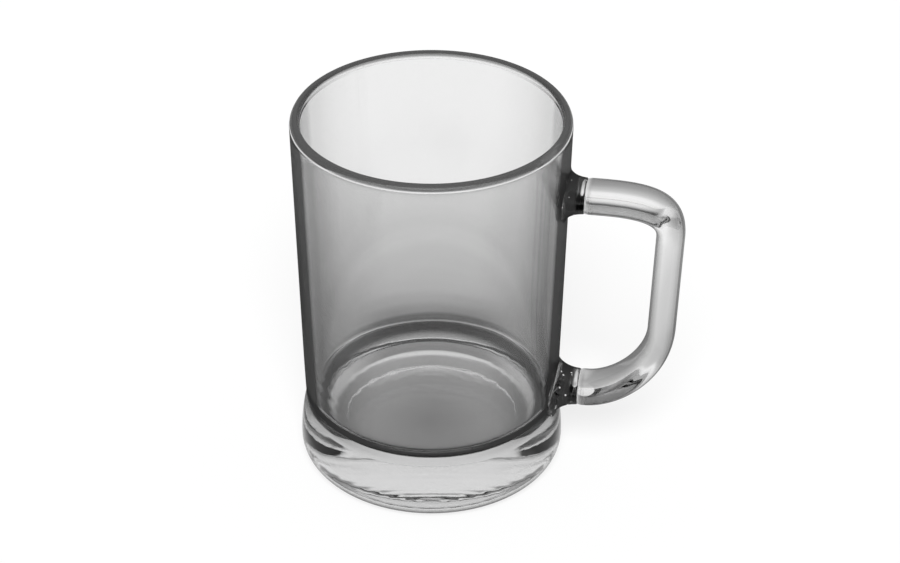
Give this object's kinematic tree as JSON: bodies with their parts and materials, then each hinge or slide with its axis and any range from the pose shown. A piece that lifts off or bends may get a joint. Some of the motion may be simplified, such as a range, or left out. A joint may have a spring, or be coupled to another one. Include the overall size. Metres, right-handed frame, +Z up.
{
  "type": "beer mug",
  "caption": "Clear glass beer mug with a tapered wall, thick floor, rounded foot and a fused D-shaped glass handle, for holding and drinking cold drinks.",
  "frame": {"origin": "on the table, under the middle of the mug's overall box; the mug's own axis is at x = -18.6 mm", "axes": "+Z up along the mug's axis, +X from the mug's axis out to the handle, +Y to the left of the handle seen from the mug"},
  "size_m": [0.1272, 0.09, 0.1292],
  "materials": {
    "body_glass": "clear pressed soda-lime glass, fire-polished",
    "handle_glass": "clear drawn soda-lime glass, fire-polished",
    "seal_glass": "clear soda-lime glass, fused while hot"
  },
  "bodies": {
    "root": {"body": "body_glass", "handle": "handle_glass", "upper_seal": "seal_glass", "lower_seal": "seal_glass"}
  },
  "joints": []
}
